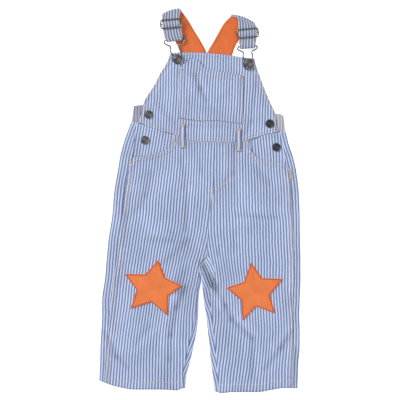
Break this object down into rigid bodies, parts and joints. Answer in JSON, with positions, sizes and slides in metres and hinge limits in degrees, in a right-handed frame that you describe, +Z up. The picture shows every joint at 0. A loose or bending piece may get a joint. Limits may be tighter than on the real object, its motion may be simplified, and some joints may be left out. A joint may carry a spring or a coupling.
{
  "type": "dungarees",
  "caption": "Child's striped cotton dungarees laid flat on their back, with bib, chest pocket, star knee patches and shoulder straps hooked to the bib.",
  "frame": {"origin": "centre of the bounding box's base, on the surface that the garment lies on", "axes": "+Z up out of the surface, towards the viewer of the front; +Y from the hems to the shoulder folds; +X to the viewer's right"},
  "size_m": [0.3319, 0.6335, 0.0101],
  "materials": {
    "striped_cloth": "hickory stripe cotton drill, matt",
    "wrong_side_cloth": "wrong side of the striped drill, matt",
    "orange_cloth": "plain orange cotton, matt",
    "dark_metal": "dark pewter plate, soft sheen",
    "steel_wire": "dark plated wire, soft sheen"
  },
  "bodies": {
    "root": {"back_leg_left": "striped_cloth", "back_leg_right": "striped_cloth", "front_leg_left": "striped_cloth", "front_leg_right": "striped_cloth", "hip_piece_left": "striped_cloth", "hip_piece_right": "striped_cloth", "bib_front": "striped_cloth", "bib_pocket": "striped_cloth", "back_bib": "striped_cloth", "side_tab_left": "wrong_side_cloth", "side_tab_right": "wrong_side_cloth", "strap_left": "striped_cloth", "strap_right": "striped_cloth", "strap_lining_left": "orange_cloth", "strap_lining_right": "orange_cloth", "belt_loop_left": "striped_cloth", "belt_loop_right": "striped_cloth", "star_left": "orange_cloth", "star_right": "orange_cloth", "slide_left": "steel_wire", "slide_right": "steel_wire", "hook_left": "steel_wire", "hook_right": "steel_wire", "bib_button_left": "dark_metal", "bib_button_right": "dark_metal", "side_button_upper_left": "dark_metal", "side_button_upper_right": "dark_metal", "side_button_lower_left": "dark_metal", "side_button_lower_right": "dark_metal"}
  },
  "joints": []
}
